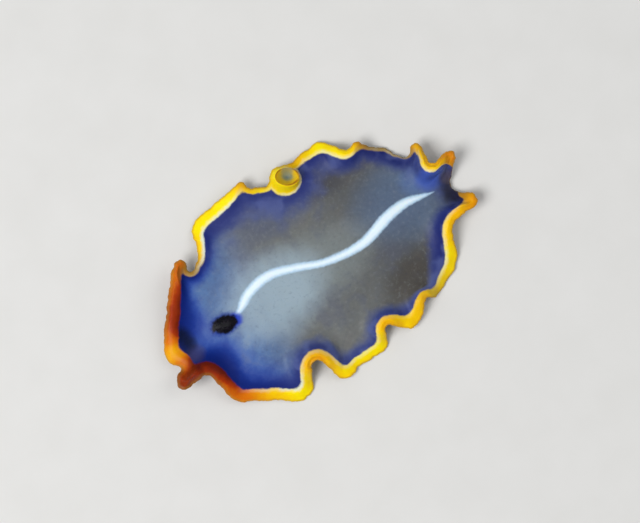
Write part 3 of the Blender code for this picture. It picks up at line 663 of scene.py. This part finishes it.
class Paint:
    """A material built one value at a time. Each method returns the socket that holds its result."""

    def __init__(self, name):
        self.material = bpy.data.materials.new(name)
        self.material.use_nodes = True
        self.nodes = self.material.node_tree.nodes
        self.links = self.material.node_tree.links
        self.shader = self.nodes["Principled BSDF"]

    def feed(self, socket, value):
        if isinstance(value, bpy.types.NodeSocket):
            self.links.new(value, socket)
        else:
            socket.default_value = value

    def mark(self, name):
        node = self.nodes.new("ShaderNodeAttribute")
        node.attribute_name = name
        return node.outputs["Fac"]

    def place(self):
        return self.nodes.new("ShaderNodeTexCoord").outputs["Object"]

    def math(self, operation, a, b=0.0):
        node = self.nodes.new("ShaderNodeMath")
        node.operation = operation
        self.feed(node.inputs[0], a)
        self.feed(node.inputs[1], b)
        return node.outputs[0]

    def uneven(self, value, noise, amount):
        """A value moved up and down by noise, by up to about a fifth of the amount either way."""
        return self.math("ADD", value, self.math("MULTIPLY", self.math("SUBTRACT", noise, 0.5), amount))

    def around(self, centre, reach):
        """Nought at a place seen from above, and 1 at its reach along x and y, all in millimetres."""
        where = self.nodes.new("ShaderNodeSeparateXYZ")
        self.links.new(self.place(), where.inputs[0])
        squares = []
        for axis, middle, far in zip("XY", centre, reach):
            offset = self.math("SUBTRACT", where.outputs[axis], middle * MM)
            share = self.math("DIVIDE", offset, far * MM)
            squares.append(self.math("MULTIPLY", share, share))
        return self.math("ADD", *squares)

    def forward(self, rear, front):
        """A smooth step along the body, from 0 to 1 between two places in millimetres."""
        where = self.nodes.new("ShaderNodeSeparateXYZ")
        self.links.new(self.place(), where.inputs[0])
        return self.step(where.outputs["X"], rear * MM, front * MM)

    def step(self, value, low, high, start=0.0, end=1.0):
        """A smooth step from start at low to end at high, whichever of the two is more."""
        node = self.nodes.new("ShaderNodeMapRange")
        node.interpolation_type = "SMOOTHSTEP"
        self.feed(node.inputs["Value"], value)
        self.feed(node.inputs["From Min"], low)
        self.feed(node.inputs["From Max"], high)
        self.feed(node.inputs["To Min"], start)
        self.feed(node.inputs["To Max"], end)
        return node.outputs["Result"]

    def fade(self, value, low, high, most):
        """A smooth step from nought at low to the most at high, whichever of the two is more."""
        return self.step(value, low, high, 0.0, most)

    def mix(self, factor, a, b):
        node = self.nodes.new("ShaderNodeMix")
        node.data_type = "RGBA"
        self.feed(node.inputs[0], factor)
        self.feed(node.inputs[6], a)
        self.feed(node.inputs[7], b)
        return node.outputs[2]

    def noise(self, size, detail=3.0, distortion=0.0):
        """Noise whose lumps are about size millimetres across, mostly between 0.3 and 0.7."""
        node = self.nodes.new("ShaderNodeTexNoise")
        node.inputs["Scale"].default_value = 1 / (size * MM)
        node.inputs["Detail"].default_value = detail
        node.inputs["Distortion"].default_value = distortion
        self.links.new(self.place(), node.inputs["Vector"])
        return node.outputs["Fac"]

    def ramp(self, value, stops):
        """A colour between those at the stops, which are given as a screen shows them."""
        node = self.nodes.new("ShaderNodeValToRGB")
        elements = node.color_ramp.elements
        while len(elements) < len(stops):
            elements.new(0.5)
        for element, (position, colour) in zip(elements, stops):
            element.position = position
            element.color = rgb(*colour)
        self.feed(node.inputs["Fac"], value)
        return node.outputs["Color"]

    def bump(self, height, depth, normal=None):
        node = self.nodes.new("ShaderNodeBump")
        node.inputs["Distance"].default_value = depth * MM
        self.feed(node.inputs["Height"], height)
        if normal is not None:
            self.links.new(normal, node.inputs["Normal"])
        return node.outputs["Normal"]


def blue_beside_margin(paint, tilt, inside, back):
    """The blue in from the margin's band: deepest beside it, hazy in places, brighter on the head."""
    head = paint.forward(*HEAD_BLUE)
    wide = paint.math("ADD", paint.math("MULTIPLY", tilt, BLUE_UNEVENNESS), BLUE_REACH)
    wide = paint.math("MAXIMUM", paint.math("MULTIPLY", paint.mark("blue"), wide), LEAST_BLUE)
    deep = paint.mark("deep")
    middle = paint.mix(deep, rgb(76, 88, 136), rgb(44, 58, 126))
    middle = paint.mix(head, middle, rgb(14, 60, 166))
    shore = paint.math("MULTIPLY", wide, 0.1)
    back = paint.mix(paint.fade(inside, wide, shore, 0.95), back, middle)
    near = paint.mix(deep, rgb(58, 68, 130), rgb(14, 24, 98))
    near = paint.mix(head, near, rgb(2, 20, 100))
    narrow = paint.math("MULTIPLY", wide, 0.6)
    back = paint.mix(paint.fade(inside, narrow, 0.05, 0.85), back, near)
    haze = paint.fade(paint.noise(1.3, 2.0), 0.46, 0.68, 0.45)
    haze = paint.math("MULTIPLY", haze, paint.math("SUBTRACT", 1.0, head))
    haze = paint.math("MULTIPLY", haze, paint.step(inside, wide, 0.2))
    return paint.mix(haze, back, rgb(100, 112, 164))


def back_colour(paint, clouds, inside):
    """The back: grey behind, pale blue-grey in front, finely speckled, and blue beside the margin."""
    coarse, medium, fine = clouds
    tilt = paint.math("ADD", coarse, paint.math("MULTIPLY", medium, MEDIUM_SHARE))
    tilt = paint.math("SUBTRACT", tilt, (1 + MEDIUM_SHARE) / 2)

    def paint_places(back, places):
        for _, colour, centre, reach, strength, wander in places:
            out = paint.math("MULTIPLY", tilt, wander)
            out = paint.math("ADD", paint.around(centre, reach), out)
            back = paint.mix(paint.fade(out, 1.0, 0.0, strength), back, rgb(*colour))
        return back

    back = paint.mix(paint.forward(-7.0, 1.0), rgb(82, 83, 84), rgb(110, 112, 110))
    back = paint.mix(paint.forward(2.0, 6.0), back, rgb(90, 120, 166))
    back = paint.mix(paint.fade(tilt, -0.05, 0.25, 0.35), back, rgb(84, 90, 114))
    back = paint.mix(paint.fade(tilt, 0.0, -0.30, 0.35), back, rgb(112, 107, 106))
    back = paint_places(back, BACK_PLACES)
    back = paint.mix(paint.fade(fine, 0.50, 0.80, 0.16), back, rgb(150, 156, 160))
    back = paint.mix(paint.fade(fine, 0.48, 0.20, 0.22), back, rgb(60, 64, 78))
    back = blue_beside_margin(paint, tilt, inside, back)
    return paint_places(back, END_PLACES)


def middle_colours(paint, clouds, back):
    """The white stripe, and the near-black patch of eyes in its blue halo."""
    _, medium, fine = clouds
    stripe = paint.uneven(paint.mark("stripe"), fine, 0.10)
    white = paint.mix(paint.step(stripe, 0.0, 0.25), rgb(176, 204, 226), rgb(228, 242, 250))
    back = paint.mix(paint.step(stripe, -0.07, 0.08), back, white)
    patch = paint.uneven(paint.uneven(paint.mark("patch"), fine, 0.35), medium, 0.5)
    back = paint.mix(paint.fade(patch, 1.50, 0.95, 0.75), back, rgb(10, 44, 140))
    halo = paint.uneven(paint.around(HALO_CENTRE, HALO_REACH), medium, 0.8)
    back = paint.mix(paint.fade(halo, 1.0, 0.0, 0.85), back, rgb(20, 54, 186))
    black = paint.mix(paint.step(fine, 0.4, 0.7), rgb(0, 0, 8), rgb(16, 8, 22))
    return paint.mix(paint.step(patch, 1.14, 0.82), back, black)


def band_colour(paint, clouds, edge, band, inside):
    """The margin's band: lemon to dark red, brown at its very edge, chalky along its inner side, and
    painted more orange on high crests as shade.
    """
    _, medium, fine = clouds
    fiery = paint.step(paint.mark("warm"), 0.4, 0.75)
    across = paint.math("DIVIDE", edge, paint.math("MAXIMUM", band, 0.05))
    across = paint.math("SUBTRACT", across, 0.5)
    # Painted shade: the band turns more orange where the margin rises high, as tilted crests look darker
    warm = paint.math("ADD", paint.mark("warm"), paint.fade(paint.mark("crest"), 0.7, 1.3, 0.10))
    lean = paint.step(fiery, 0.0, 1.0, -0.10, 0.40)
    warm = paint.math("ADD", warm, paint.math("MULTIPLY", across, lean))
    colour = paint.ramp(paint.uneven(warm, medium, 0.24), BAND_HUES)
    colour = paint.mix(paint.mark("dull"), colour, rgb(116, 100, 50))
    rim = paint.mix(fiery, rgb(186, 142, 40), rgb(140, 104, 44))
    rim = paint.mix(paint.mark("dull"), rim, rgb(132, 118, 72))
    reach = paint.step(fiery, 0.0, 1.0, 0.17, 0.30)
    colour = paint.mix(paint.fade(paint.mark("edge"), reach, 0.03, 0.6), colour, rim)
    chalk = paint.math("MULTIPLY", paint.mark("white"), paint.step(medium, 0.30, 0.55, 0.35, 1.0))
    chalk = paint.math("MULTIPLY", chalk, paint.math("SUBTRACT", 1.0, fiery))
    reach = paint.step(paint.mark("ring"), 1.6, 2.4, -0.15, -0.30)
    chalk = paint.math("MULTIPLY", chalk, paint.step(paint.uneven(inside, fine, 0.12), reach, -0.03))
    return paint.mix(chalk, colour, rgb(216, 226, 222))


def ring_colour(paint, clouds, back):
    """The ring's hollow: grey-blue at the bottom, yellow up its sides, and with one greyish place of
    painted shade.
    """
    _, medium, _ = clouds
    out = paint.uneven(paint.mark("ring"), medium, 0.5)
    hollow = paint.ramp(out, RING_HUES)
    # Painted shade: a greyish place on one side of the hollow
    shade = paint.uneven(paint.around(RING_SHADE_CENTRE, RING_SHADE_REACH), medium, 0.5)
    hollow = paint.mix(paint.fade(shade, 1.0, 0.1, 0.75), hollow, rgb(146, 146, 116))
    return paint.mix(paint.step(paint.mark("ring"), 1.08, 0.98), back, hollow)


def skin_paint():
    """Soft mottled skin, which hardly shines."""
    paint = Paint("worm_skin")
    clouds = [paint.noise(*numbers) for numbers in CLOUDS]
    coarse, medium, fine = clouds
    band = paint.mark("band")
    edge = paint.uneven(paint.uneven(paint.mark("edge"), medium, 0.16), fine, 0.10)
    inside = paint.math("SUBTRACT", edge, band)
    colour = middle_colours(paint, clouds, back_colour(paint, clouds, inside))
    margin = band_colour(paint, clouds, edge, band, inside)
    colour = paint.mix(paint.step(inside, 0.07, -0.06), colour, margin)
    colour = ring_colour(paint, clouds, colour)
    belly = paint.mix(paint.step(coarse, 0.35, 0.65), rgb(140, 144, 156), rgb(170, 170, 178))
    belly = paint.mix(paint.fade(inside, 0.1, -0.1, 0.5), belly, margin)
    paint.feed(paint.shader.inputs["Base Color"], paint.mix(paint.mark("belly"), colour, belly))
    paint.feed(paint.shader.inputs["Roughness"], paint.step(medium, 0.3, 0.7, 0.42, 0.58))
    paint.feed(paint.shader.inputs["Normal"], paint.bump(medium, 0.020, paint.bump(fine, 0.010)))
    paint.shader.inputs["Specular IOR Level"].default_value = 0.10
    paint.shader.inputs["Subsurface Weight"].default_value = 0.3
    paint.shader.inputs["Subsurface Radius"].default_value = (1.0, 0.7, 0.5)
    paint.shader.inputs["Subsurface Scale"].default_value = 0.25 * MM
    paint.shader.inputs["Coat Weight"].default_value = 0.04
    paint.shader.inputs["Coat Roughness"].default_value = 0.2
    return paint.material


def eyespots(sheet):
    """The cerebral eyes: two dense groups of tiny black ocelli in the dark patch over the brain."""
    random = np.random.default_rng(EYE_SEED)
    axis = np.array(PATCH_AXIS)
    across = np.array([-axis[1], axis[0]])
    spots = []
    while len(spots) < EYE_COUNT:
        place = random.uniform(-EYE_SPREAD, EYE_SPREAD, 2)
        if np.hypot(*place) < EYE_SPREAD and abs(place[1]) > EYE_GAP:
            aside = across * place[1] * PATCH_HALF[1]
            spots.append(PATCH_CENTRE + axis * place[0] * PATCH_HALF[0] + aside)
    _, upper, _ = sheet.sides(np.array(spots))
    mesh = bmesh.new()
    for (x, y), z in zip(spots, upper):
        radius = random.uniform(*EYE_RADII)
        shape = Matrix.Diagonal((radius * MM, radius * MM, EYE_FLATNESS * radius * MM, 1.0))
        place = Matrix.Translation(Vector((x, y, z)) * MM)
        bmesh.ops.create_icosphere(mesh, subdivisions=2, radius=1.0, matrix=place @ shape)
    data = bpy.data.meshes.new("cerebral_eyes")
    mesh.to_mesh(data)
    mesh.free()
    data.shade_smooth()
    paint = Paint("eye_pigment")
    grain = paint.noise(0.05)
    paint.feed(paint.shader.inputs["Base Color"], paint.mix(grain, rgb(4, 4, 10), rgb(14, 10, 22)))
    paint.feed(paint.shader.inputs["Roughness"], paint.step(grain, 0.3, 0.7, 0.45, 0.6))
    paint.shader.inputs["Specular IOR Level"].default_value = 0.05
    data.materials.append(paint.material)
    eyes = bpy.data.objects.new("cerebral_eyes", data)
    bpy.context.scene.collection.objects.link(eyes)
    return eyes


def floor():
    """A plain pale floor with a faint grain."""
    bpy.ops.mesh.primitive_plane_add(size=FLOOR_SIZE, location=(0, 0, 0))
    plane = bpy.context.object
    plane.name = "floor"
    paint = Paint("pale_floor")
    grain = paint.noise(3.0, 4.0)
    colour = paint.mix(grain, rgb(214, 212, 208), rgb(222, 220, 217))
    paint.feed(paint.shader.inputs["Base Color"], colour)
    paint.shader.inputs["Roughness"].default_value = 0.75
    plane.data.materials.append(paint.material)


def light(name, direction, distance, size, power):
    """A square soft light that shines on the worm from a direction."""
    data = bpy.data.lights.new(name, "AREA")
    data.size = size
    data.energy = power
    lamp = bpy.data.objects.new(name, data)
    lamp.location = Vector(direction).normalized() * distance
    lamp.rotation_euler = lamp.location.to_track_quat("Z", "Y").to_euler()
    bpy.context.scene.collection.objects.link(lamp)


def studio():
    """Soft light from above the head and above the tail, a pale surround, and the camera."""
    right, up = Vector(IMAGE_RIGHT), Vector(IMAGE_UP)
    for name, (along_right, along_up, along_z), distance, size, power in LIGHTS:
        direction = along_up * up + along_right * right + Vector((0, 0, along_z))
        light(name, direction, distance, size, power)
    world = bpy.data.worlds.new("surround")
    world.use_nodes = True
    world.node_tree.nodes["Background"].inputs["Color"].default_value = SURROUND_COLOUR
    world.node_tree.nodes["Background"].inputs["Strength"].default_value = SURROUND_STRENGTH
    bpy.context.scene.world = world
    data = bpy.data.cameras.new("camera")
    data.sensor_width = SENSOR_WIDTH
    data.lens = data.sensor_width * CAMERA_HEIGHT / FRAME_WIDTH
    data.clip_start = 0.005
    data.clip_end = 5.0
    camera = bpy.data.objects.new("camera", data)
    turned = Matrix((right, up, right.cross(up))).transposed().to_4x4()
    spot = Vector((*FRAME_CENTRE, CAMERA_HEIGHT)) * MM
    camera.matrix_world = Matrix.Translation(spot) @ turned
    bpy.context.scene.collection.objects.link(camera)
    bpy.context.scene.camera = camera
    bpy.context.scene.view_settings.view_transform = "Standard"


def main():
    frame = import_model()
    sheet = Sheet()
    data = skin_mesh(sheet)
    data.materials.append(skin_paint())
    skin = bpy.data.objects.new("skin", data)
    bpy.context.scene.collection.objects.link(skin)
    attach(skin, "root")
    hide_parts(*frame["nodes"])
    eyes = eyespots(sheet)
    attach(eyes, "root")
    floor()
    studio()


main()
